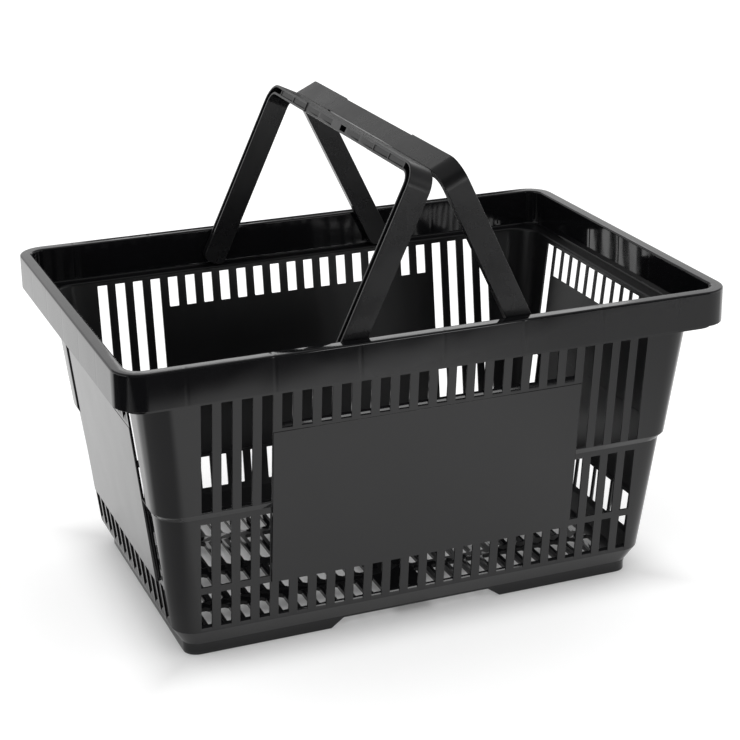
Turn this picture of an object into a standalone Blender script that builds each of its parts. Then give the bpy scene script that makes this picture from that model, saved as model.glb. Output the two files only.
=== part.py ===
"""Shopping basket: a tapered, stepped and slotted plastic tub with two folding strap handles.

Metres, +Z up. X runs along the long sides, Y across them, and the origin is on the ground
under the middle of the tub. The tub is one moulding, and so is each handle with its two pins.
"""
import math
from collections import namedtuple

import bmesh
import bpy
from mathutils import Matrix, Vector

# Rim: an inverted U with a skirt outside and a wall inside that drops to a ledge
RIM_LENGTH = 0.4500
RIM_WIDTH = 0.3064
RIM_HEIGHT = 0.2337
RIM_CORNER = 0.0200
RIM_BREADTH = 0.0092
RIM_ROUND = 0.0015
SKIRT_DEPTH = 0.0256
LEDGE_DEPTH = 0.0282
LEDGE_FILLET = 0.0016
LEDGE_ROUND = 0.0018
SIDE_LEDGE = 0.0087
END_LEDGE = 0.0109
LONG_RIBS = 7
LONG_RIB_PITCH = 0.0600
SHORT_RIBS = 5
SHORT_RIB_PITCH = 0.0475
RIB_THICKNESS = 0.0016
RIB_DEPTH = 0.0160

# Walls: two tiers at the same draft, the lower one set in by a sloped step
WALL = 0.0016
DRAFT = math.radians(6.58)
END_DRAFT = math.radians(6.21)
STEP_HEIGHT = 0.1130
STEP_SLOPE = 0.0045
STEP_DEPTH = 0.0024
CORNER_TOP = 0.0215
CORNER_BASE = 0.0170

# Slots: columns at one pitch on all four walls, in three rows
SLOT_PITCH = 0.01415
LONG_SLOT_WIDTH = 0.0076
SHORT_SLOT_WIDTH = 0.0108
SLOT_HEAD = 0.0043
TOP_SLOT = 0.0283
TOP_SILL_RISE = 0.0050
RAIL_ABOVE_STEP = 0.0007
RAIL_BELOW_STEP = 0.0048
LOW_RAIL = 0.0056
BASE_SLOT = 0.0300
BASE_SILL_RISE = 0.0042
LONG_END_COLUMNS = 4
SHORT_END_COLUMNS = 1

# Label panels: flush plates over the lower tier, between the end columns
PANEL_PROUD = 0.0003
PANEL_SIDE_GAP = 0.0005
PANEL_TOP_GAP = 0.0014
PANEL_BOTTOM_GAP = 0.0010

# Base: a chamfer in to a lip, a slotted floor and a skid foot round each end
BASE_EDGE = 0.0215
BASE_RUN = 0.0080
BASE_CORNER = 0.0110
BASE_LIP = 0.0014
BASE_SILL_GAP = 0.0010
FOOT_HEIGHT = 0.0072
FOOT_WIDTH = 0.0028
FOOT_INSET = 0.0005
FOOT_GAP = 0.1340
FOOT_END_RUN = 0.0100
FLOOR = 0.0032
FLOOR_ROWS = 4
FLOOR_BAR = 0.0085
FLOOR_BORDER = 0.0035
FLOOR_SLOT_WIDTH = 0.0082
FLOOR_SLOT_ROUND = 0.0022
FLOOR_SPINE = 0.0283

# Handles: U straps with a channel section, pins on the leg ends
PIVOT_X = 0.0685
PIVOT_DROP = 0.0177
STRAP_WIDTH = 0.0174
STRAP_DEPTH = 0.0075
STRAP_SKIN = 0.0018
STRAP_WEB = 0.0020
STRAP_BEND = 0.0150
LEG_GAP = 0.0009
LEG_END_ROUND = 0.0060
LEG_CHANNEL_START = 0.0130
GRIP_REACH = 0.1410
GRIP_INSET = 0.0008
GRIP_INSET_LENGTH = 0.1250
GRIP_CELLS = 9
GRIP_SHIFT = 0.0048
GRIP_CELL_DEPTH = 0.0030
GRIP_CELL_RISE = 0.0025
GRIP_HOLE = 0.0097
PIN_RADIUS = 0.0040
PIN_CLEARANCE = 0.0003
PIN_HEAD_RADIUS = 0.0051
PIN_HEAD_TIP_RADIUS = 0.0044
PIN_HEAD_LENGTH = 0.0020
MEETING_GAP = 0.0003

CORNER_SEGMENTS = 6
EASE_SEGMENTS = 3
BEND_SEGMENTS = 6
PIN_SIDES = 16
OVERLAP = 0.0006
CUT_MARGIN = 0.0030
SAME_PLACE = 0.00001

BASKET_COLOUR = (0.012, 0.012, 0.013, 1.0)
HANDLE_COLOUR = (0.014, 0.014, 0.015, 1.0)
PLASTIC_ROUGHNESS = 0.34

# Levels that follow from the sizes above
LEDGE_HEIGHT = RIM_HEIGHT - LEDGE_DEPTH
STEP_TOP = STEP_HEIGHT + STEP_SLOPE
FLOOR_TOP = FOOT_HEIGHT + FLOOR
LIP_TOP = FOOT_HEIGHT + BASE_LIP
SLOT_TOP = LEDGE_HEIGHT - SLOT_HEAD
TOP_SLOT_SILL = SLOT_TOP - TOP_SLOT
TALL_SLOT_SILL = STEP_TOP + RAIL_ABOVE_STEP
BASE_SLOT_SILL = BASE_EDGE + BASE_SILL_GAP
BASE_SLOT_HEAD = BASE_SLOT_SILL + BASE_SLOT
LOW_SLOT_SILL = BASE_SLOT_HEAD + LOW_RAIL
LOW_SLOT_HEAD = STEP_HEIGHT - RAIL_BELOW_STEP
PANEL_TOP = TOP_SLOT_SILL - PANEL_TOP_GAP
PANEL_BOTTOM = BASE_SLOT_HEAD + PANEL_BOTTOM_GAP
PIVOT_HEIGHT = RIM_HEIGHT - PIVOT_DROP

# One level of the tub's section; ease is how far its rounding starts from the corner
Level = namedtuple("Level", "half_x half_y corner z ease")
Side = namedtuple("Side", "long sign columns end_columns slot_width")


def clear_scene():
    for item in list(bpy.data.objects):
        bpy.data.objects.remove(item, do_unlink=True)


def new_collection(name):
    collection = bpy.data.collections.new(name)
    bpy.context.scene.collection.children.link(collection)
    return collection


def plastic(name, colour):
    material = bpy.data.materials.new(name)
    material.use_nodes = True
    shader = material.node_tree.nodes["Principled BSDF"]
    shader.inputs["Base Color"].default_value = colour
    shader.inputs["Roughness"].default_value = PLASTIC_ROUGHNESS
    shader.inputs["Metallic"].default_value = 0.0
    return material


def mesh_object(bm, name, collection, cutter=False):
    """Turns a bmesh of closed bodies into an object with its faces pointing out."""
    bm.normal_update()
    bmesh.ops.recalc_face_normals(bm, faces=bm.faces)
    mesh = bpy.data.meshes.new(name)
    bm.to_mesh(mesh)
    bm.free()
    item = bpy.data.objects.new(name, mesh)
    collection.objects.link(item)
    if cutter:
        item.hide_render = True
        item.display_type = "WIRE"
    return item


def combine(target, other, operation):
    modifier = target.modifiers.new(other.name, "BOOLEAN")
    modifier.operation = operation
    modifier.solver = "EXACT"
    modifier.object = other


def prism(bm, outline, sweep):
    """Adds a closed prism: a flat outline carried along a vector."""
    face = bm.faces.new([bm.verts.new(point) for point in outline])
    carried = bmesh.ops.extrude_face_region(bm, geom=[face])["geom"]
    corners = [item for item in carried if isinstance(item, bmesh.types.BMVert)]
    bmesh.ops.translate(bm, verts=corners, vec=sweep)


def block(bm, low, high):
    """Adds a box between two opposite corners."""
    x0, y0, z0 = low
    x1, y1, z1 = high
    outline = [(x0, y0, z0), (x1, y0, z0), (x1, y1, z0), (x0, y1, z0)]
    prism(bm, outline, Vector((0.0, 0.0, z1 - z0)))


def arc(centre, radius, start, end, segments):
    """Points of a circular arc in a plane, from one angle to another in degrees."""
    points = []
    for index in range(segments + 1):
        angle = math.radians(start + (end - start) * index / segments)
        points.append((centre[0] + radius * math.cos(angle), centre[1] + radius * math.sin(angle)))
    return points


def rounded_outline(half_x, half_y, radius, segments):
    """Points of a rounded rectangle, anticlockwise from its +X side."""
    points = []
    quarters = ((1, 1, 0), (-1, 1, 90), (-1, -1, 180), (1, -1, 270))
    for sign_x, sign_y, start in quarters:
        centre = (sign_x * (half_x - radius), sign_y * (half_y - radius))
        points += arc(centre, radius, start, start + 90, segments)
    return points


# The tub's section, as insets from the rim's outer face


def upper_inset(z):
    """Inset of the upper tier's outer face on the long sides."""
    return RIM_BREADTH + SIDE_LEDGE - WALL + (LEDGE_HEIGHT - z) * math.tan(DRAFT)


def lower_inset(z):
    return upper_inset(z) + STEP_DEPTH


def base_inset():
    return lower_inset(BASE_EDGE) + BASE_RUN


def end_set_in(z):
    """How much further in the short sides stand, which eases towards the base edge."""
    drop = LEDGE_HEIGHT - max(z, BASE_EDGE)
    return END_LEDGE - SIDE_LEDGE - drop * (math.tan(DRAFT) - math.tan(END_DRAFT))


def chamfer_inset(z):
    """Inset of the sloped base band between its lip and its top edge."""
    share = (BASE_EDGE - z) / (BASE_EDGE - LIP_TOP)
    return lower_inset(BASE_EDGE) + BASE_RUN * share


def wall_corner(z):
    """Outer corner radius of the walls, which shrinks towards the base."""
    share = (z - BASE_EDGE) / (LEDGE_HEIGHT - BASE_EDGE)
    return CORNER_BASE + (CORNER_TOP - CORNER_BASE) * share


def rim_level(inset, z, ease=0.0):
    return Level(RIM_LENGTH / 2 - inset, RIM_WIDTH / 2 - inset, RIM_CORNER - inset, z, ease)


def wall_level(inset, corner, z, ease=0.0):
    half_x = RIM_LENGTH / 2 - inset - end_set_in(z)
    return Level(half_x, RIM_WIDTH / 2 - inset, corner, z, ease)


def tub_section():
    """The tub's whole section in order: up its outside, over the rim and down its inside."""
    ledge_under = LEDGE_HEIGHT - WALL
    skirt_end = RIM_HEIGHT - SKIRT_DEPTH
    rim_under = RIM_HEIGHT - WALL
    inner_back = RIM_BREADTH - WALL
    ledge_edge = upper_inset(LEDGE_HEIGHT) + WALL
    outside = [
        wall_level(base_inset(), BASE_CORNER, FOOT_HEIGHT),
        wall_level(base_inset(), BASE_CORNER, LIP_TOP),
        wall_level(lower_inset(BASE_EDGE), wall_corner(BASE_EDGE), BASE_EDGE),
        wall_level(lower_inset(STEP_HEIGHT), wall_corner(STEP_HEIGHT), STEP_HEIGHT),
        wall_level(upper_inset(STEP_TOP), wall_corner(STEP_TOP), STEP_TOP),
        wall_level(upper_inset(ledge_under), wall_corner(ledge_under), ledge_under),
    ]
    rim = [
        rim_level(inner_back, ledge_under),
        rim_level(inner_back, rim_under),
        rim_level(WALL, rim_under),
        rim_level(WALL, skirt_end),
        rim_level(0.0, skirt_end),
        rim_level(0.0, RIM_HEIGHT, RIM_ROUND),
        rim_level(RIM_BREADTH, RIM_HEIGHT, RIM_ROUND),
        rim_level(RIM_BREADTH, LEDGE_HEIGHT, LEDGE_FILLET),
    ]
    inside = [
        wall_level(ledge_edge, wall_corner(LEDGE_HEIGHT) - WALL, LEDGE_HEIGHT, LEDGE_ROUND),
        wall_level(upper_inset(STEP_TOP) + WALL, wall_corner(STEP_TOP) - WALL, STEP_TOP),
        wall_level(lower_inset(STEP_HEIGHT) + WALL, wall_corner(STEP_HEIGHT) - WALL, STEP_HEIGHT),
        wall_level(lower_inset(BASE_EDGE) + WALL, wall_corner(BASE_EDGE) - WALL, BASE_EDGE),
        wall_level(chamfer_inset(FLOOR_TOP) + WALL, BASE_CORNER - WALL, FLOOR_TOP),
    ]
    return outside + rim + inside


def towards(level, other):
    """The place one ease away from a level, on the way to another."""
    step = Vector(other[:4]) - Vector(level[:4])
    run = math.hypot(other.half_y - level.half_y, other.z - level.z)
    return Vector(level[:4]) + step * (level.ease / run)


def eased(section):
    """Swaps each level that has an ease for a short curve from its one side to its other."""
    levels = []
    for index, level in enumerate(section):
        if not level.ease:
            levels.append(level)
            continue
        start = towards(level, section[index - 1])
        end = towards(level, section[index + 1])
        for step in range(EASE_SEGMENTS + 1):
            share = step / EASE_SEGMENTS
            first = start.lerp(Vector(level[:4]), share)
            second = Vector(level[:4]).lerp(end, share)
            levels.append(Level(*first.lerp(second, share), 0.0))
    return levels


def ring(level):
    outline = rounded_outline(level.half_x, level.half_y, level.corner, CORNER_SEGMENTS)
    return [Vector((x, y, level.z)) for x, y in outline]


def loft(bm, levels, closed=False):
    """Joins the levels' rings with quads, then the last to the first or a cap on each."""
    loops = [[bm.verts.new(point) for point in ring(level)] for level in levels]
    for first, second in zip(loops, loops[1:] + loops[:closed]):
        for index in range(len(first)):
            after = (index + 1) % len(first)
            bm.faces.new((first[index], first[after], second[after], second[index]))
    if not closed:
        bm.faces.new(loops[0])
        bm.faces.new(loops[-1])


# Slots, panels and recesses on the four walls


def column_count(half):
    """How many slot columns are centred on the flat of a wall at its base."""
    flat = 2 * (half - lower_inset(BASE_EDGE) - CORNER_BASE)
    return int(flat / SLOT_PITCH) + 1


def long_columns():
    return column_count(RIM_LENGTH / 2 - end_set_in(BASE_EDGE))


def short_columns():
    return column_count(RIM_WIDTH / 2)


def column_centres(count):
    return [(index - (count - 1) / 2) * SLOT_PITCH for index in range(count)]


def sides():
    found = []
    for sign in (-1, 1):
        found.append(Side(True, sign, long_columns(), LONG_END_COLUMNS, LONG_SLOT_WIDTH))
        found.append(Side(False, sign, short_columns(), SHORT_END_COLUMNS, SHORT_SLOT_WIDTH))
    return found


def on_side(side, along, depth, z):
    """A point on a wall: place along it, depth behind the upper tier's face, and height."""
    inset = upper_inset(z) + depth
    if side.long:
        return Vector((along, side.sign * (RIM_WIDTH / 2 - inset), z))
    return Vector((side.sign * (RIM_LENGTH / 2 - end_set_in(z) - inset), along, z))


def side_prism(bm, side, profile, start, end):
    """A prism along a wall, from a profile of (depth, height) points."""
    outline = [on_side(side, start, depth, z) for depth, z in profile]
    along = Vector((end - start, 0.0, 0.0)) if side.long else Vector((0.0, end - start, 0.0))
    prism(bm, outline, along)


def slot_profile(sill, head, rise, face_depth):
    """Section of a slot whose sill climbs by rise through the wall behind face_depth."""
    front = face_depth - CUT_MARGIN
    back = face_depth + WALL + CUT_MARGIN
    slope = rise / WALL
    front_sill = sill - slope * CUT_MARGIN
    back_sill = sill + slope * (WALL + CUT_MARGIN)
    return [(front, front_sill), (back, back_sill), (back, head), (front, head)]


def panel_half(side):
    centre = -column_centres(side.columns)[side.end_columns - 1]
    return centre - side.slot_width / 2 - PANEL_SIDE_GAP


def cut_slots(bm, side):
    half = side.slot_width / 2
    for index, centre in enumerate(column_centres(side.columns)):
        over_panel = side.end_columns <= index < side.columns - side.end_columns
        rows = [slot_profile(BASE_SLOT_SILL, BASE_SLOT_HEAD, BASE_SILL_RISE, STEP_DEPTH)]
        if over_panel:
            rows.append(slot_profile(TOP_SLOT_SILL, SLOT_TOP, TOP_SILL_RISE, 0.0))
        else:
            rows.append(slot_profile(TALL_SLOT_SILL, SLOT_TOP, 0.0, 0.0))
            rows.append(slot_profile(LOW_SLOT_SILL, LOW_SLOT_HEAD, 0.0, STEP_DEPTH))
        for profile in rows:
            side_prism(bm, side, profile, centre - half, centre + half)


def add_panel(bm, side):
    """The plate stays in the upper tier's plane and hooks into the wall behind it."""
    hold = WALL / 2
    profile = [
        (-PANEL_PROUD, PANEL_BOTTOM),
        (-PANEL_PROUD, PANEL_TOP),
        (hold, PANEL_TOP),
        (hold, STEP_TOP),
        (STEP_DEPTH + hold, STEP_HEIGHT),
        (STEP_DEPTH + hold, PANEL_BOTTOM),
    ]
    side_prism(bm, side, profile, -panel_half(side), panel_half(side))


def cut_panel_back(bm, side):
    """Behind each panel the wall is hollowed, so that the plate keeps the wall's thickness."""
    shallow = WALL + PANEL_PROUD
    deep = STEP_DEPTH + WALL + CUT_MARGIN
    low = PANEL_BOTTOM + WALL
    high = STEP_TOP + OVERLAP
    profile = [(shallow, low), (deep, low), (deep, high), (shallow, high)]
    half = panel_half(side) - WALL
    side_prism(bm, side, profile, -half, half)


# Floor, feet, rim ribs and pin holes


def cut_floor(bm):
    centres = column_centres(long_columns())
    half = RIM_WIDTH / 2 - base_inset() - FLOOR_BORDER
    length = (2 * half - (FLOOR_ROWS - 1) * FLOOR_BAR) / FLOOR_ROWS
    outline = rounded_outline(FLOOR_SLOT_WIDTH / 2, length / 2, FLOOR_SLOT_ROUND, 1)
    bottom = FOOT_HEIGHT - OVERLAP
    sweep = Vector((0.0, 0.0, FLOOR + 2 * OVERLAP))
    for x in centres:
        if abs(x) < FLOOR_SPINE / 2:
            continue
        for row in range(FLOOR_ROWS):
            y = -half + length / 2 + row * (length + FLOOR_BAR)
            prism(bm, [Vector((x + dx, y + dy, bottom)) for dx, dy in outline], sweep)


def skid_feet(collection):
    """A thin wall round the base, cut away along the middle of the long sides."""
    bm = bmesh.new()
    outer = base_inset() + FOOT_INSET
    inner = outer + FOOT_WIDTH
    top = FOOT_HEIGHT + OVERLAP
    outer_corner = BASE_CORNER - FOOT_INSET
    inner_corner = outer_corner - FOOT_WIDTH
    section = [
        wall_level(outer, outer_corner, 0.0),
        wall_level(outer, outer_corner, top),
        wall_level(inner, inner_corner, top),
        wall_level(inner, inner_corner, 0.0),
    ]
    loft(bm, section, closed=True)
    feet = mesh_object(bm, "skid_feet", collection, cutter=True)

    bm = bmesh.new()
    slope = FOOT_END_RUN / FOOT_HEIGHT
    low = -CUT_MARGIN
    high = top + CUT_MARGIN
    wide = FOOT_GAP / 2 - slope * low
    narrow = FOOT_GAP / 2 - slope * high
    outline = [
        Vector((-wide, -RIM_WIDTH / 2, low)),
        Vector((wide, -RIM_WIDTH / 2, low)),
        Vector((narrow, -RIM_WIDTH / 2, high)),
        Vector((-narrow, -RIM_WIDTH / 2, high)),
    ]
    prism(bm, outline, Vector((0.0, RIM_WIDTH, 0.0)))
    combine(feet, mesh_object(bm, "foot_gap", collection, cutter=True), "DIFFERENCE")
    return feet


def add_rim_ribs(bm):
    """Webs across the rim's hollow, sunk a little into the skirt, the top and the inner wall."""
    near = WALL - OVERLAP
    far = RIM_BREADTH - WALL + OVERLAP
    high = RIM_HEIGHT - WALL + OVERLAP
    low = RIM_HEIGHT - WALL - RIB_DEPTH
    half = RIB_THICKNESS / 2
    for sign in (-1, 1):
        for index in range(LONG_RIBS):
            x = (index - (LONG_RIBS - 1) / 2) * LONG_RIB_PITCH
            inner, outer = sign * (RIM_WIDTH / 2 - far), sign * (RIM_WIDTH / 2 - near)
            block(bm, (x - half, inner, low), (x + half, outer, high))
        for index in range(SHORT_RIBS):
            y = (index - (SHORT_RIBS - 1) / 2) * SHORT_RIB_PITCH
            inner, outer = sign * (RIM_LENGTH / 2 - far), sign * (RIM_LENGTH / 2 - near)
            block(bm, (inner, y - half, low), (outer, y + half, high))


def round_bar(bm, start, radius, tip_radius, length, sign):
    """A round bar or cone along Y, from the middle of its first end towards sign."""
    middle = start + Vector((0.0, sign * length / 2, 0.0))
    place = Matrix.Translation(middle) @ Matrix.Rotation(-sign * math.pi / 2, 4, "X")
    bmesh.ops.create_cone(
        bm, cap_ends=True, segments=PIN_SIDES, depth=length,
        radius1=radius, radius2=tip_radius, matrix=place,
    )


def cut_pin_holes(bm):
    face = RIM_WIDTH / 2 - RIM_BREADTH
    for sign in (-1, 1):
        for x in (-PIVOT_X, PIVOT_X):
            start = Vector((x, sign * (face - OVERLAP), PIVOT_HEIGHT))
            length = WALL + 2 * OVERLAP
            round_bar(bm, start, PIN_RADIUS + PIN_CLEARANCE, PIN_RADIUS + PIN_CLEARANCE, length, sign)


def make_basket(parts, cutters):
    bm = bmesh.new()
    loft(bm, eased(tub_section()))
    basket = mesh_object(bm, "basket", parts)
    basket.data.materials.append(plastic("basket_plastic", BASKET_COLOUR))

    walls = sides()
    bm = bmesh.new()
    for side in walls:
        add_panel(bm, side)
    combine(basket, mesh_object(bm, "label_panels", cutters, cutter=True), "UNION")
    combine(basket, skid_feet(cutters), "UNION")
    bm = bmesh.new()
    add_rim_ribs(bm)
    combine(basket, mesh_object(bm, "rim_ribs", cutters, cutter=True), "UNION")

    bm = bmesh.new()
    for side in walls:
        cut_slots(bm, side)
        cut_panel_back(bm, side)
    cut_floor(bm)
    combine(basket, mesh_object(bm, "openings", cutters, cutter=True), "DIFFERENCE")
    bm = bmesh.new()
    cut_pin_holes(bm)
    combine(basket, mesh_object(bm, "pin_holes", cutters, cutter=True), "DIFFERENCE")
    return basket


# Handles, in their own frame: origin on the pivot axis, Z along the legs, the open channel at -X


def leg_face():
    """Distance from the middle plane to a leg's outer face."""
    return RIM_WIDTH / 2 - RIM_BREADTH - LEG_GAP


def bent_edge(inset, start, stop):
    """One edge of half a strap, inset from its outer face: up a leg, round the bend, along the grip."""
    centre = (leg_face() - STRAP_BEND, GRIP_REACH - STRAP_BEND)
    points = [(leg_face() - inset, start)]
    points += arc(centre, STRAP_BEND - inset, 0, 90, BEND_SEGMENTS)
    points.append((stop, GRIP_REACH - inset))
    return points


def strap(bm):
    """The plain U strap, with the corners of its leg ends rounded."""
    half = STRAP_WIDTH / 2
    outline = []
    for inset in (0.0, STRAP_DEPTH):
        edge = bent_edge(inset, -half, 0.0)[:-1]
        whole = edge + [(-y, z) for y, z in reversed(edge)]
        outline += reversed(whole) if outline else whole
    prism(bm, [Vector((-half, y, z)) for y, z in outline], Vector((STRAP_WIDTH, 0.0, 0.0)))
    corners = []
    for edge in bm.edges:
        start, end = (vert.co for vert in edge.verts)
        at_leg_end = max(start.z, end.z) < SAME_PLACE - half
        if at_leg_end and abs(start.x - end.x) < SAME_PLACE:
            corners.append(edge)
    bmesh.ops.bevel(
        bm, geom=corners, offset=LEG_END_ROUND, segments=BEND_SEGMENTS, profile=0.5, affect="EDGES"
    )


def add_pins(bm):
    """Each pin runs from inside its leg through the rim's wall to a snap head in the rim's hollow."""
    head_start = RIM_WIDTH / 2 - RIM_BREADTH + WALL + PIN_CLEARANCE
    for sign in (-1, 1):
        root = leg_face() - OVERLAP
        neck_length = head_start + OVERLAP - root
        round_bar(bm, Vector((0.0, sign * root, 0.0)), PIN_RADIUS, PIN_RADIUS, neck_length, sign)


def add_pin_heads(bm):
    head_start = RIM_WIDTH / 2 - RIM_BREADTH + WALL + PIN_CLEARANCE
    for sign in (-1, 1):
        start = Vector((0.0, sign * head_start, 0.0))
        round_bar(bm, start, PIN_HEAD_RADIUS, PIN_HEAD_TIP_RADIUS, PIN_HEAD_LENGTH, sign)


def grip_cells():
    """Ends of the cells along the grip, which stand a little off the middle, towards the front."""
    straight = leg_face() - STRAP_BEND - STRAP_SKIN
    pitch = 2 * (straight - GRIP_SHIFT) / GRIP_CELLS
    first = -GRIP_SHIFT - GRIP_CELLS * pitch / 2
    rib = STRAP_SKIN / 2
    return [(first + i * pitch + rib, first + (i + 1) * pitch - rib) for i in range(GRIP_CELLS)]


def cut_channel(bm):
    """The channel up each leg and round its bend, and the cells along the grip.

    Each cell's floor rises from front to back. The middle cell is instead a short deep hole.
    """
    mouth = -STRAP_WIDTH / 2 - CUT_MARGIN
    floor = STRAP_WIDTH / 2 - STRAP_WEB
    low = GRIP_REACH - STRAP_DEPTH + STRAP_SKIN
    high = GRIP_REACH - STRAP_SKIN
    cells = grip_cells()
    for sign, stop in ((-1, STRAP_SKIN - cells[0][0]), (1, cells[-1][1] + STRAP_SKIN)):
        outer = bent_edge(STRAP_SKIN, LEG_CHANNEL_START, stop)
        inner = bent_edge(STRAP_DEPTH - STRAP_SKIN, LEG_CHANNEL_START, stop)
        leg = [Vector((mouth, sign * y, z)) for y, z in outer + inner[::-1]]
        prism(bm, leg, Vector((floor - mouth, 0.0, 0.0)))
    hole_start = cells.pop(GRIP_CELLS // 2)[0]
    block(bm, (mouth, hole_start, low), (floor, hole_start + GRIP_HOLE, high))
    front = GRIP_CELL_DEPTH - STRAP_WIDTH / 2
    for start, end in cells:
        outline = ((mouth, start), (mouth, end), (front - GRIP_CELL_RISE, end), (front, start))
        prism(bm, [Vector((x, y, low)) for x, y in outline], Vector((0.0, 0.0, high - low)))


def cut_grip_edges(bm):
    """The grip is a little narrower along its middle."""
    half = STRAP_WIDTH / 2
    low = GRIP_REACH - STRAP_DEPTH - CUT_MARGIN
    high = GRIP_REACH + CUT_MARGIN
    for sign in (-1, 1):
        near, far = sign * (half - GRIP_INSET), sign * (half + CUT_MARGIN)
        block(bm, (near, -GRIP_INSET_LENGTH / 2, low), (far, GRIP_INSET_LENGTH / 2, high))


def handle_mesh(cutters):
    """One handle, cut and joined at the origin, for both handle objects."""
    bm = bmesh.new()
    strap(bm)
    blank = mesh_object(bm, "handle", cutters, cutter=True)
    operands = []
    for name, fill, operation in (
        ("handle_channel", cut_channel, "DIFFERENCE"),
        ("handle_grip_edges", cut_grip_edges, "DIFFERENCE"),
        ("handle_pins", add_pins, "UNION"),
        ("handle_pin_heads", add_pin_heads, "UNION"),
    ):
        bm = bmesh.new()
        fill(bm)
        operand = mesh_object(bm, name, cutters, cutter=True)
        combine(blank, operand, operation)
        operands.append(operand)
    graph = bpy.context.evaluated_depsgraph_get()
    mesh = bpy.data.meshes.new_from_object(blank.evaluated_get(graph))
    mesh.name = "handle"
    mesh.materials.clear()
    mesh.materials.append(plastic("handle_plastic", HANDLE_COLOUR))
    for item in operands + [blank]:
        bpy.data.objects.remove(item, do_unlink=True)
    return mesh


def rest_lean():
    """Angle at which the two handles' inner grip edges meet over the middle."""
    reach = PIVOT_X - MEETING_GAP / 2
    half = STRAP_WIDTH / 2
    return math.asin(reach / math.hypot(GRIP_REACH, half)) - math.atan2(half, GRIP_REACH)


def make_handles(parts, cutters):
    mesh = handle_mesh(cutters)
    lean = rest_lean()
    handles = []
    for name, sign, turn in (("left_handle", -1, 0.0), ("right_handle", 1, math.pi)):
        handle = bpy.data.objects.new(name, mesh)
        handle.location = (sign * PIVOT_X, 0.0, PIVOT_HEIGHT)
        handle.rotation_euler = (0.0, lean, turn)
        parts.objects.link(handle)
        handles.append(handle)
    return handles


def main():
    clear_scene()
    parts = new_collection("shopping_basket")
    cutters = new_collection("cutters")
    root = bpy.data.objects.new("shopping_basket_root", None)
    parts.objects.link(root)
    handles = make_handles(parts, cutters)
    basket = make_basket(parts, cutters)
    for item in [basket] + handles:
        item.parent = root


if __name__ == "__main__":
    main()
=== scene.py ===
"""Shopping basket: the finish of a black moulded hand basket with two folding strap handles.

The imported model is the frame: metres, +Z up, the ground at Z 0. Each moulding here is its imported
node with the edges that the mould rounds, and with its plastic.
"""
import math

import bmesh
import bpy
from bpy.props import FloatProperty, FloatVectorProperty, PointerProperty
from mathutils import Matrix, Vector


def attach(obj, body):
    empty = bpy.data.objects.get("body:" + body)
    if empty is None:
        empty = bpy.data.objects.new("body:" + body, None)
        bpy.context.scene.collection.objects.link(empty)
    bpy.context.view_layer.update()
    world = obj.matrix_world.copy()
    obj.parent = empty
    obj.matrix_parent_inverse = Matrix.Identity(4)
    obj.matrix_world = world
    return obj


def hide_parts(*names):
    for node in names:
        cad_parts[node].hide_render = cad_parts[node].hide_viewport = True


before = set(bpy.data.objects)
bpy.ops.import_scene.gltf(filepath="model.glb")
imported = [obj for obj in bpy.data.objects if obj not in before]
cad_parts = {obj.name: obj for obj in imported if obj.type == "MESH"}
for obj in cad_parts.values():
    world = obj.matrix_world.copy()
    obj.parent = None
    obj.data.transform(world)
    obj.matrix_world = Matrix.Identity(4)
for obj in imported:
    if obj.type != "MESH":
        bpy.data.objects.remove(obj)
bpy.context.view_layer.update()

bl_info = {
    "name": "Shopping Basket Finish",
    "version": (1, 0, 0),
    "blender": (4, 5, 0),
    "location": "View3D > Sidebar > Basket",
    "description": "Rounds and finishes a black shopping basket, and sets its studio",
    "category": "Object",
}

MM = 0.001

# Mesh cleaning: packed corners closer than this are one, and faces this near to flat are joined
SAME_POINT = 0.002 * MM
SAME_PLANE = math.radians(0.12)
# Edges sharper than the first angle are rounded, and the shading breaks past the second
ROUNDED_FROM = math.radians(20.0)
SHARP_FROM = math.radians(50.0)
ROUNDING_STEPS = 2
# Slot sills end in a knife edge, sharper than this, and swell between their ends
KEEN_FROM = math.radians(130.0)
SILL_SWELL = 0.28 * MM
SILL_CUTS = 4

# Rim ribs, which leave sink marks on the skirt and on the rim's top
SKIRT_BOTTOM = 208.1 * MM
LONG_RIB_PITCH = 60.0 * MM
SHORT_RIB_PITCH = 47.5 * MM
SINK_HALF_WIDTH = 2.2 * MM
SINK_DEPTH = 0.03 * MM
# A face that looks this far along X is on a short side
SHORT_SIDE_FACING = 0.7

# Studio: the paper glows where it is seen, but less under the basket, a painted shadow over the footprint
# that keeps the shadow there dark
FLOOR_DROP = 0.2 * MM
FLOOR_LIFT = 0.47
SHADE_LIFT = 0.12
SHADE_HALF_LENGTH = 165.0 * MM
SHADE_HALF_WIDTH = 95.0 * MM
SHADE_EDGE = 60.0 * MM
# The studio's walls are white up to one height and fade to a dim ceiling at another, both given as
# the sine of their elevation
WALL_TOP = 0.34
CEILING = 0.50
CEILING_LIGHT = 0.32
# Softboxes: name, place, width, height and brightness
LAMP_AIM = Vector((0.0, 0.0, 0.15))
SOFTBOXES = (
    ("front softbox", Vector((0.57, -1.65, 0.22)), 0.32, 0.36, 4.2),
    ("back softbox", Vector((0.914, 2.262, 1.15)), 1.08, 0.22, 0.80),
)
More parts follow.
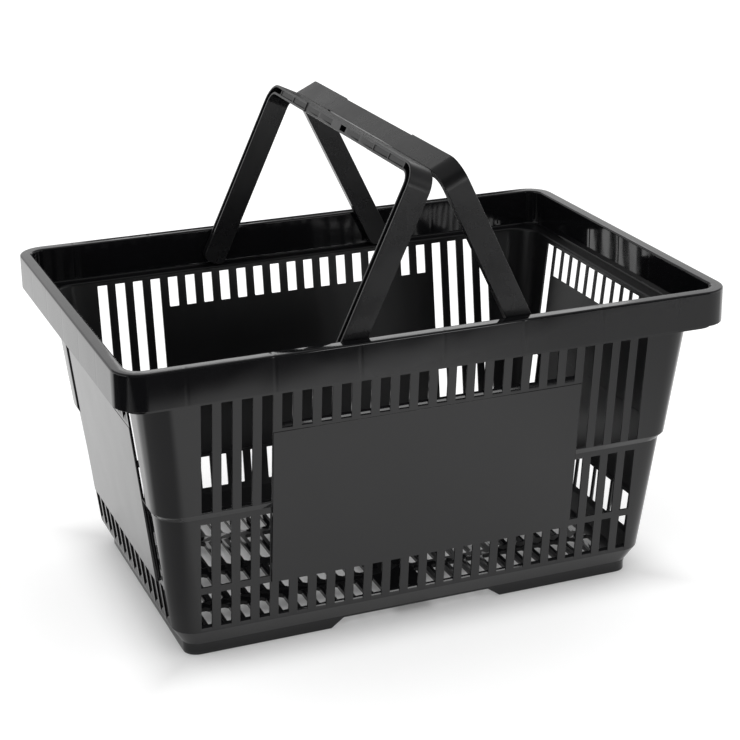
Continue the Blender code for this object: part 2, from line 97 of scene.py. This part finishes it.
# Black cards that only the gloss sees, painted dark reflections of shade on the floor and in the studio,
# flat on the floor or standing: name, tilt and turn in degrees, middle before the turn, half sizes,
# soft edges and cover
PAINTED_REFLECTION_BLACK = "050505"
CARD_HEIGHT = 1.0 * MM
CARDS = (
    ("front card", 0.0, -14.4, (-0.43, -1.355, CARD_HEIGHT), (1.17, 0.76), (0.08, 0.12), 0.95),
    ("front right card", 0.0, -14.4, (1.50, -1.50, CARD_HEIGHT), (0.90, 0.62), (0.10, 0.06), 0.95),
    ("left card", 0.0, 0.0, (-0.82, -0.40, 2 * CARD_HEIGHT), (0.70, 0.46), (0.12, 0.12), 0.60),
    ("far left card", 0.0, -21.6, (-1.05, -0.35, 3 * CARD_HEIGHT), (0.53, 0.42), (0.08, 0.12), 0.95),
    ("right card", 0.0, 0.0, (0.75, -0.45, 4 * CARD_HEIGHT), (0.60, 0.50), (0.25, 0.15), 0.35),
    ("standing card", 90.0, -14.4, (0.0, -2.10, 1.25), (2.60, 1.25), (0.10, 0.10), 0.95),
    ("back card", 90.0, -18.5, (0.0, 2.44, 0.505), (0.47, 0.505), (0.05, 0.05), 0.95),
    ("back floor card", 0.0, 0.0, (0.0, 0.42, CARD_HEIGHT), (0.19, 0.13), (0.05, 0.07), 0.80),
)

# Finishes as roughness: least, and most where handled, and the rough inside of the tub
TUB_GLOSS = (0.05, 0.09)
HANDLE_GLOSS = (0.24, 0.36)
INSIDE_ROUGHNESS = 0.28
# The rim's inner wall stands on the ledge and leans out by this slope
LEDGE_TOP = 205.5 * MM
RIM_DRAFT = 0.05
# Polypropylene's index of refraction, the widths of the pigment's clouds and of the handled patches,
# and the levels of the patches' noise between which the gloss dulls
POLYPROPYLENE_IOR = 1.49
CLOUD_WIDTH = 45.0 * MM
PATCH_WIDTH = 30.0 * MM
PATCH_LEVELS = (0.35, 0.75)
# Relief in the gloss: slow waves over the tub, upright ripples inside it and scuffs on the handles
WAVE_WIDTH = 40.0 * MM
WAVE_DEPTH = 0.20 * MM
RIPPLE_WIDTH = 14.0 * MM
RIPPLE_DEPTH = 0.08 * MM
RIPPLE_STRETCH = (1.0, 1.0, 0.3)
SCUFF_WIDTH = 12.0 * MM
SCUFF_DEPTH = 0.06 * MM

# Camera, solved on the basket's own edges
CAMERA_AZIMUTH = math.radians(-21.603)
CAMERA_ELEVATION = math.radians(20.566)
CAMERA_ROLL = math.radians(-0.701)
CAMERA_DISTANCE = 1.3750
CAMERA_TARGET = Vector((-0.01894, -0.06483, 0.17844))
CAMERA_LENS = 93.34


def linear(code):
    """Turns an sRGB hex code into a linear colour."""
    shares = [int(code[start:start + 2], 16) / 255 for start in (0, 2, 4)]
    return tuple(s / 12.92 if s <= 0.04045 else ((s + 0.055) / 1.055) ** 2.4 for s in shares)


def add_node(tree, kind, settings=None, inputs=None):
    """Adds one node, with its settings, and each input given a value or linked to a socket."""
    node = tree.nodes.new(kind)
    for name, value in (settings or {}).items():
        setattr(node, name, value)
    for name, value in (inputs or {}).items():
        if isinstance(value, bpy.types.NodeSocket):
            tree.links.new(value, node.inputs[name])
        else:
            node.inputs[name].default_value = value
    return node


class MouldedFinish(bpy.types.PropertyGroup):
    """What the mould and the pigment give the plastic."""
    tub_round: FloatProperty(
        name="Tub rounding", description="Radius on the tub's moulded edges",
        default=0.25 * MM, min=0.0, unit="LENGTH",
    )
    handle_round: FloatProperty(
        name="Handle rounding", description="Radius on the handles' moulded edges",
        default=0.4 * MM, min=0.0, unit="LENGTH",
    )
    tub_black: FloatVectorProperty(
        name="Tub black", description="Darkest colour of the tub's pigment",
        default=linear("080809"), size=3, min=0.0, max=1.0, subtype="COLOR",
    )
    handle_black: FloatVectorProperty(
        name="Handle black", description="Darkest colour of the handles' pigment",
        default=linear("0e0e0f"), size=3, min=0.0, max=1.0, subtype="COLOR",
    )
    cloudy_black: FloatVectorProperty(
        name="Cloudy black", description="Colour where the pigment is thinner",
        default=linear("111113"), size=3, min=0.0, max=1.0, subtype="COLOR",
    )


class StudioSettings(bpy.types.PropertyGroup):
    """The floor and the light."""
    floor_colour: FloatVectorProperty(
        name="Floor", description="Colour of the floor",
        default=linear("e6e6e6"), size=3, min=0.0, max=1.0, subtype="COLOR",
    )
    floor_size: FloatProperty(
        name="Floor size", description="Length of each side of the floor",
        default=8.0, min=1.0, unit="LENGTH",
    )
    sky_strength: FloatProperty(
        name="Sky strength", description="Light of the white studio all round",
        default=0.92, min=0.0,
    )


def swell_sills(bm):
    """Rounds the slots' steep sills outward a little, so that each catches a thin line of light.

    Returns the sills' edges, which end in a knife edge and which the mould leaves keen.
    """
    knives = [edge for edge in bm.edges if edge.calc_face_angle() > KEEN_FROM]
    sills = dict.fromkeys(
        min(edge.link_faces, key=lambda face: face.calc_area()) for edge in knives
    )
    keen = set()
    for sill in sills:
        keen.update(sill.edges)
        outward = sill.normal.copy()
        heights = [vert.co.z for vert in sill.verts]
        bottom, top = min(heights), max(heights)
        uprights = [
            edge for edge in sill.edges
            if abs(edge.verts[0].co.z - edge.verts[1].co.z) > SAME_POINT
        ]
        cut = bmesh.ops.subdivide_edges(bm, edges=uprights, cuts=SILL_CUTS, use_grid_fill=True)
        for vert in (item for item in cut["geom_split"] if isinstance(item, bmesh.types.BMVert)):
            # A parabola: nothing at the two ends and the whole swell half way up
            share = (vert.co.z - bottom) / (top - bottom)
            vert.co += outward * SILL_SWELL * 4 * share * (1 - share)
            keen.update(vert.link_edges)
    return keen


def rounded_mesh(node, name, radius):
    """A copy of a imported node's mesh with its flat faces cleaned and its edges rounded."""
    bm = bmesh.new()
    bm.from_mesh(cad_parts[node].data)
    bmesh.ops.remove_doubles(bm, verts=bm.verts, dist=SAME_POINT)
    bmesh.ops.dissolve_limit(bm, angle_limit=SAME_PLANE, verts=bm.verts, edges=bm.edges)
    keen = swell_sills(bm)
    edges = [
        edge for edge in bm.edges
        if edge.calc_face_angle() > ROUNDED_FROM and edge not in keen
    ]
    bmesh.ops.triangulate(bm, faces=[face for face in bm.faces if len(face.verts) > 4])
    bmesh.ops.bevel(
        bm, geom=edges, offset=radius, segments=ROUNDING_STEPS, profile=0.5, affect="EDGES",
    )
    for face in bm.faces:
        face.smooth = True
    for edge in bm.edges:
        edge.smooth = edge.calc_face_angle() < SHARP_FROM
    mesh = bpy.data.meshes.new(name)
    bm.to_mesh(mesh)
    bm.free()
    return mesh


def add_moulding(node, body, name, radius, material):
    """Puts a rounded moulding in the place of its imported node."""
    mesh = rounded_mesh(node, name, radius)
    mesh.materials.append(material)
    moulding = bpy.data.objects.new(name, mesh)
    bpy.context.scene.collection.objects.link(moulding)
    shading = moulding.modifiers.new("flat faces stay flat", "WEIGHTED_NORMAL")
    shading.keep_sharp = True
    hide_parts(node)
    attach(moulding, body)
    return moulding


def sink_marks(tree, place):
    """Shallow dents, 0 to 1, where the ribs behind the rim drew its face in as they cooled."""
    along = add_node(tree, "ShaderNodeSeparateXYZ", None, {0: place}).outputs
    dents = []
    for axis, pitch in (("X", LONG_RIB_PITCH), ("Y", SHORT_RIB_PITCH)):
        away = add_node(
            tree, "ShaderNodeMath", {"operation": "PINGPONG"}, {0: along[axis], 1: pitch / 2}
        )
        dents.append(add_node(
            tree, "ShaderNodeMapRange", {"interpolation_type": "SMOOTHSTEP"},
            {"Value": away.outputs[0], "From Max": SINK_HALF_WIDTH, "To Min": 1.0, "To Max": 0.0},
        ).outputs["Result"])
    facing = add_node(tree, "ShaderNodeNewGeometry").outputs["True Normal"]
    turned = add_node(tree, "ShaderNodeSeparateXYZ", None, {0: facing}).outputs["X"]
    sideways = add_node(tree, "ShaderNodeMath", {"operation": "ABSOLUTE"}, {0: turned})
    on_end = add_node(
        tree, "ShaderNodeMath", {"operation": "GREATER_THAN"},
        {0: sideways.outputs[0], 1: SHORT_SIDE_FACING},
    )
    dent = add_node(tree, "ShaderNodeMix", None, {0: on_end.outputs[0], 2: dents[0], 3: dents[1]})
    on_rim = add_node(
        tree, "ShaderNodeMath", {"operation": "GREATER_THAN"}, {0: along["Z"], 1: SKIRT_BOTTOM}
    )
    marks = add_node(
        tree, "ShaderNodeMath", {"operation": "MULTIPLY"},
        {0: dent.outputs[0], 1: on_rim.outputs[0]},
    )
    return marks.outputs[0]


def facing_in(tree, coordinates):
    """1 on the tub's inner faces and 0 on its outer ones."""
    level = add_node(
        tree, "ShaderNodeVectorMath", {"operation": "MULTIPLY"},
        {0: coordinates["Object"], 1: (1.0, 1.0, 0.0)},
    )
    outward = add_node(
        tree, "ShaderNodeVectorMath", {"operation": "DOT_PRODUCT"},
        {0: level.outputs[0], 1: coordinates["Normal"]},
    )
    inner = add_node(
        tree, "ShaderNodeMath", {"operation": "LESS_THAN"}, {0: outward.outputs["Value"], 1: 0.0}
    )
    return inner.outputs[0]


def moulded_polypropylene(name, black, cloudy, gloss):
    """Injection-moulded polypropylene, black right through; gloss is its least and most roughness.

    The eye gets a deep, faintly cloudy black under a gloss that brightens at a glance, with a few
    duller handled patches. Returns the material and its roughness.
    """
    material = bpy.data.materials.new(name)
    material.use_nodes = True
    tree = material.node_tree
    shader = tree.nodes["Principled BSDF"]
    place = add_node(tree, "ShaderNodeTexCoord").outputs["Object"]

    clouds = add_node(
        tree, "ShaderNodeTexNoise", None,
        {"Vector": place, "Scale": 1 / CLOUD_WIDTH, "Detail": 3.0, "Roughness": 0.55},
    )
    pigment = add_node(
        tree, "ShaderNodeMix", {"data_type": "RGBA"},
        {0: clouds.outputs["Fac"], 6: (*black, 1.0), 7: (*cloudy, 1.0)},
    )
    tree.links.new(pigment.outputs[2], shader.inputs["Base Color"])

    handled = add_node(
        tree, "ShaderNodeTexNoise", None,
        {"Vector": place, "Scale": 1 / PATCH_WIDTH, "Detail": 5.0, "Roughness": 0.65},
    )
    dullness = add_node(
        tree, "ShaderNodeMapRange", None,
        {
            "Value": handled.outputs["Fac"],
            "From Min": PATCH_LEVELS[0], "From Max": PATCH_LEVELS[1],
            "To Min": gloss[0], "To Max": gloss[1],
        },
    )
    shader.inputs["IOR"].default_value = POLYPROPYLENE_IOR
    return material, dullness.outputs["Result"]


def tub_polypropylene(black, cloudy):
    """The tub's plastic: glossy outside, duller inside, with sinks over the rim's ribs.

    The mould is polished for the outside and the rim and left as cut for the inside, so the eye
    gets sharp wavering reflections on the rim, soft sheen on the walls and a plain dark inside.
    """
    material, roughness = moulded_polypropylene(
        "moulded polypropylene, tub", black, cloudy, TUB_GLOSS
    )
    tree = material.node_tree
    shader = tree.nodes["Principled BSDF"]
    coordinates = add_node(tree, "ShaderNodeTexCoord").outputs
    place = coordinates["Object"]
    height = add_node(tree, "ShaderNodeSeparateXYZ", None, {0: place}).outputs["Z"]
    inner = facing_in(tree, coordinates)
    on_rim = add_node(
        tree, "ShaderNodeMath", {"operation": "GREATER_THAN"}, {0: height, 1: LEDGE_TOP}
    )
    inner_rim = add_node(
        tree, "ShaderNodeMath", {"operation": "MULTIPLY"}, {0: inner, 1: on_rim.outputs[0]}
    )
    inside = add_node(
        tree, "ShaderNodeMath", {"operation": "SUBTRACT"}, {0: inner, 1: inner_rim.outputs[0]}
    )
    dulled = add_node(
        tree, "ShaderNodeMix", None, {0: inside.outputs[0], 2: roughness, 3: INSIDE_ROUGHNESS}
    )
    tree.links.new(dulled.outputs[0], shader.inputs["Roughness"])

    # The rim's inner wall leans out by its draft, which its reflections show
    lean = add_node(
        tree, "ShaderNodeVectorMath", {"operation": "SCALE"},
        {0: (0.0, 0.0, RIM_DRAFT), "Scale": inner_rim.outputs[0]},
    )
    leaned = add_node(
        tree, "ShaderNodeVectorMath", {"operation": "ADD"},
        {0: add_node(tree, "ShaderNodeNewGeometry").outputs["Normal"], 1: lean.outputs[0]},
    )
    drafted = add_node(
        tree, "ShaderNodeVectorMath", {"operation": "NORMALIZE"}, {0: leaned.outputs[0]}
    )

    waves = add_node(
        tree, "ShaderNodeTexNoise", None, {"Vector": place, "Scale": 1 / WAVE_WIDTH, "Detail": 1.0}
    )
    upright = add_node(
        tree, "ShaderNodeVectorMath", {"operation": "MULTIPLY"}, {0: place, 1: RIPPLE_STRETCH}
    )
    ripples = add_node(
        tree, "ShaderNodeTexNoise", None,
        {"Vector": upright.outputs[0], "Scale": 1 / RIPPLE_WIDTH, "Detail": 1.0},
    )
    rippled = add_node(
        tree, "ShaderNodeMath", {"operation": "MULTIPLY"}, {0: ripples.outputs["Fac"], 1: inner}
    )
    normal = drafted.outputs[0]
    for dent, depth in (
        (waves.outputs["Fac"], WAVE_DEPTH),
        (rippled.outputs[0], RIPPLE_DEPTH),
        (sink_marks(tree, place), -SINK_DEPTH),
    ):
        normal = add_node(
            tree, "ShaderNodeBump", None,
            {"Strength": 1.0, "Distance": depth, "Height": dent, "Normal": normal},
        ).outputs["Normal"]
    tree.links.new(normal, shader.inputs["Normal"])
    return material


def handle_polypropylene(black, cloudy):
    """The handles' plastic: satin, from a mould with a fine etch, worn a little by hands.

    The eye gets a soft sheen with no sharp reflections, broken by faint scuffs along the grip.
    """
    material, roughness = moulded_polypropylene(
        "moulded polypropylene, handle", black, cloudy, HANDLE_GLOSS
    )
    tree = material.node_tree
    shader = tree.nodes["Principled BSDF"]
    tree.links.new(roughness, shader.inputs["Roughness"])
    place = add_node(tree, "ShaderNodeTexCoord").outputs["Object"]
    scuffs = add_node(
        tree, "ShaderNodeTexNoise", None,
        {"Vector": place, "Scale": 1 / SCUFF_WIDTH, "Detail": 4.0, "Roughness": 0.6},
    )
    scuffed = add_node(
        tree, "ShaderNodeBump", None,
        {"Strength": 1.0, "Distance": SCUFF_DEPTH, "Height": scuffs.outputs["Fac"]},
    )
    tree.links.new(scuffed.outputs["Normal"], shader.inputs["Normal"])
    return material


def seen_ray(tree):
    """1 for rays that show a surface, seen, mirrored or through something, and 0 for those that light."""
    ray = add_node(tree, "ShaderNodeLightPath").outputs
    seen = ray["Is Camera Ray"]
    for name in ("Is Glossy Ray", "Is Transmission Ray"):
        seen = add_node(
            tree, "ShaderNodeMath", {"operation": "MAXIMUM"}, {0: seen, 1: ray[name]}
        ).outputs[0]
    return seen


def white_paper(colour):
    """Matt white studio paper: a pale grey that the light and a glow bring to white, with less glow under
    the basket as a painted shadow, clear from below.
    """
    material = bpy.data.materials.new("matt white paper")
    material.use_nodes = True
    tree = material.node_tree
    tree.nodes.remove(tree.nodes["Principled BSDF"])
    paper = add_node(tree, "ShaderNodeBsdfDiffuse", None, {"Color": (*colour, 1.0)})
    place = add_node(tree, "ShaderNodeTexCoord").outputs["Object"]
    along = add_node(tree, "ShaderNodeSeparateXYZ", None, {0: place}).outputs
    beyond = []
    for axis, half in (("X", SHADE_HALF_LENGTH), ("Y", SHADE_HALF_WIDTH)):
        out = add_node(tree, "ShaderNodeMath", {"operation": "ABSOLUTE"}, {0: along[axis]})
        past = add_node(
            tree, "ShaderNodeMath", {"operation": "SUBTRACT"}, {0: out.outputs[0], 1: half}
        )
        beyond.append(past.outputs[0])
    outside = add_node(
        tree, "ShaderNodeMath", {"operation": "MAXIMUM"}, {0: beyond[0], 1: beyond[1]}
    )
    # Painted shadow: the glow drops to SHADE_LIFT over the basket's footprint and rises to FLOOR_LIFT
    # past its soft edge
    lift = add_node(
        tree, "ShaderNodeMapRange", {"interpolation_type": "SMOOTHSTEP"},
        {
            "Value": outside.outputs[0], "From Max": SHADE_EDGE,
            "To Min": SHADE_LIFT, "To Max": FLOOR_LIFT,
        },
    )
    strength = add_node(
        tree, "ShaderNodeMath", {"operation": "MULTIPLY"},
        {0: seen_ray(tree), 1: lift.outputs["Result"]},
    )
    glow = add_node(tree, "ShaderNodeEmission", None, {"Strength": strength.outputs[0]})
    lit = add_node(tree, "ShaderNodeAddShader", None, {0: paper.outputs[0], 1: glow.outputs[0]})
    under = add_node(tree, "ShaderNodeNewGeometry").outputs["Backfacing"]
    clear = add_node(tree, "ShaderNodeBsdfTransparent")
    both = add_node(
        tree, "ShaderNodeMixShader", None, {0: under, 1: lit.outputs[0], 2: clear.outputs[0]}
    )
    tree.links.new(both.outputs[0], tree.nodes["Material Output"].inputs["Surface"])
    return material


def black_card(halves, soft_edges, cover):
    """Black card that fades out at its edges, for the gloss to mirror as a painted dark reflection."""
    material = bpy.data.materials.new("black card, painted dark reflection")
    material.use_nodes = True
    tree = material.node_tree
    tree.nodes.remove(tree.nodes["Principled BSDF"])
    place = add_node(tree, "ShaderNodeTexCoord").outputs["Object"]
    along = add_node(tree, "ShaderNodeSeparateXYZ", None, {0: place}).outputs
    fades = []
    for axis, half, soft in zip("XY", halves, soft_edges):
        out = add_node(tree, "ShaderNodeMath", {"operation": "ABSOLUTE"}, {0: along[axis]})
        fades.append(add_node(
            tree, "ShaderNodeMapRange", {"interpolation_type": "SMOOTHSTEP"},
            {
                "Value": out.outputs[0], "From Min": half - soft, "From Max": half,
                "To Min": 1.0, "To Max": 0.0,
            },
        ).outputs["Result"])
    within = add_node(tree, "ShaderNodeMath", {"operation": "MULTIPLY"}, {0: fades[0], 1: fades[1]})
    share = add_node(
        tree, "ShaderNodeMath", {"operation": "MULTIPLY"}, {0: within.outputs[0], 1: cover}
    )
    clear = add_node(tree, "ShaderNodeBsdfTransparent")
    # Painted dark reflection: this black is seen only in the gloss, in place of shade
    painted_dark_reflection = add_node(tree, "ShaderNodeBsdfDiffuse", None, {"Color": (*linear(PAINTED_REFLECTION_BLACK), 1.0)})
    card = add_node(
        tree, "ShaderNodeMixShader", None,
        {0: share.outputs[0], 1: clear.outputs[0], 2: painted_dark_reflection.outputs[0]},
    )
    tree.links.new(card.outputs[0], tree.nodes["Material Output"].inputs["Surface"])
    return material


def set_sky(strength):
    """White walls under a dim ceiling where they are seen or mirrored, and even soft light."""
    world = bpy.data.worlds.new("white studio")
    bpy.context.scene.world = world
    world.use_nodes = True
    tree = world.node_tree
    background = tree.nodes["Background"]
    towards = add_node(tree, "ShaderNodeTexCoord").outputs["Generated"]
    height = add_node(tree, "ShaderNodeSeparateXYZ", None, {0: towards}).outputs["Z"]
    wall = add_node(
        tree, "ShaderNodeMapRange", None,
        {
            "Value": height, "From Min": WALL_TOP, "From Max": CEILING,
            "To Min": 1.0, "To Max": CEILING_LIGHT,
        },
    )
    level = add_node(
        tree, "ShaderNodeMapRange", None,
        {"Value": seen_ray(tree), "To Min": strength, "To Max": wall.outputs["Result"]},
    )
    background.inputs["Color"].default_value = (1.0, 1.0, 1.0, 1.0)
    tree.links.new(level.outputs["Result"], background.inputs["Strength"])


def flat_sheet(name, half_x, half_y, material):
    """A flat sheet on the stage, face up."""
    mesh = bpy.data.meshes.new(name)
    corners = [
        (-half_x, -half_y, 0.0),
        (half_x, -half_y, 0.0),
        (half_x, half_y, 0.0),
        (-half_x, half_y, 0.0),
    ]
    mesh.from_pydata(corners, [], [(0, 1, 2, 3)])
    mesh.materials.append(material)
    sheet = bpy.data.objects.new(name, mesh)
    bpy.context.scene.collection.objects.link(sheet)
    return sheet


def add_floor(settings):
    """The paper floor, a hair under the feet."""
    half = settings.floor_size / 2
    floor = flat_sheet("floor", half, half, white_paper(settings.floor_colour))
    floor.location.z = -FLOOR_DROP


def add_cards():
    """Black cards that only the gloss sees, painting dark reflections in place of shade on the floor and
    in the studio.
    """
    for name, tilt, turn, middle, halves, soft_edges, cover in CARDS:
        card = flat_sheet(name, *halves, black_card(halves, soft_edges, cover))
        turned = Matrix.Rotation(math.radians(turn), 4, "Z") @ Matrix.Translation(middle)
        card.matrix_world = turned @ Matrix.Rotation(math.radians(tilt), 4, "X")
        card.visible_camera = False
        card.visible_diffuse = False
        card.visible_transmission = False
        card.visible_shadow = False


def add_softboxes():
    """Soft lamps aimed at the basket; a lamp's watts are its brightness times pi times its area."""
    for name, place, width, height, brightness in SOFTBOXES:
        data = bpy.data.lights.new(name, "AREA")
        data.shape = "RECTANGLE"
        data.size = width
        data.size_y = height
        data.energy = brightness * math.pi * width * height
        lamp = bpy.data.objects.new(name, data)
        lamp.location = place
        lamp.rotation_euler = (place - LAMP_AIM).to_track_quat("Z", "Y").to_euler()
        lamp.visible_camera = False
        bpy.context.scene.collection.objects.link(lamp)


def add_camera():
    """The camera stands where the photograph was taken from."""
    level = math.cos(CAMERA_ELEVATION)
    back = Vector((
        math.sin(CAMERA_AZIMUTH) * level,
        -math.cos(CAMERA_AZIMUTH) * level,
        math.sin(CAMERA_ELEVATION),
    ))
    facing = back.to_track_quat("Z", "Y").to_matrix().to_4x4()
    data = bpy.data.cameras.new("camera")
    data.lens = CAMERA_LENS
    camera = bpy.data.objects.new("camera", data)
    place = Matrix.Translation(CAMERA_TARGET + back * CAMERA_DISTANCE)
    camera.matrix_world = place @ facing @ Matrix.Rotation(CAMERA_ROLL, 4, "Z")
    bpy.context.scene.collection.objects.link(camera)
    bpy.context.scene.camera = camera


class BASKET_OT_make_tub(bpy.types.Operator):
    """Round the tub's moulded edges and give it its plastic"""
    bl_idname = "basket.make_tub"
    bl_label = "Make tub"

    def execute(self, context):
        finish = context.scene.basket_finish
        plastic = tub_polypropylene(finish.tub_black, finish.cloudy_black)
        tub = add_moulding("basket", "tub", "tub_moulding", finish.tub_round, plastic)
        return {"FINISHED"}


class BASKET_OT_make_handles(bpy.types.Operator):
    """Round both handles' moulded edges and give them their plastic"""
    bl_idname = "basket.make_handles"
    bl_label = "Make handles"

    def execute(self, context):
        finish = context.scene.basket_finish
        plastic = handle_polypropylene(finish.handle_black, finish.cloudy_black)
        for side in ("left", "right"):
            handle = add_moulding(
                side + "_handle", side + "_strap", side + "_handle_moulding",
                finish.handle_round, plastic,
            )
        return {"FINISHED"}


class BASKET_OT_make_stage(bpy.types.Operator):
    """Set the floor, the light and the camera"""
    bl_idname = "basket.make_stage"
    bl_label = "Make stage"

    def execute(self, context):
        studio = context.scene.basket_studio
        set_sky(studio.sky_strength)
        add_floor(studio)
        add_cards()
        add_softboxes()
        add_camera()
        context.scene.view_settings.view_transform = "Standard"
        return {"FINISHED"}


class BASKET_PT_pieces(bpy.types.Panel):
    """The basket's pieces and its stage"""
    bl_label = "Shopping Basket"
    bl_idname = "BASKET_PT_pieces"
    bl_space_type = "VIEW_3D"
    bl_region_type = "UI"
    bl_category = "Basket"

    def draw(self, context):
        for group in (context.scene.basket_finish, context.scene.basket_studio):
            for name in group.__annotations__:
                self.layout.prop(group, name)
        for operator in STEPS:
            self.layout.operator(operator.bl_idname)


STEPS = (BASKET_OT_make_tub, BASKET_OT_make_handles, BASKET_OT_make_stage)
CLASSES = (MouldedFinish, StudioSettings, *STEPS, BASKET_PT_pieces)


def register():
    for item in CLASSES:
        bpy.utils.register_class(item)
    bpy.types.Scene.basket_finish = PointerProperty(type=MouldedFinish)
    bpy.types.Scene.basket_studio = PointerProperty(type=StudioSettings)


def unregister():
    del bpy.types.Scene.basket_studio
    del bpy.types.Scene.basket_finish
    for item in reversed(CLASSES):
        bpy.utils.unregister_class(item)


def main():
    register()
    bpy.ops.basket.make_tub()
    bpy.ops.basket.make_handles()
    bpy.ops.basket.make_stage()


if __name__ == "__main__":
    main()
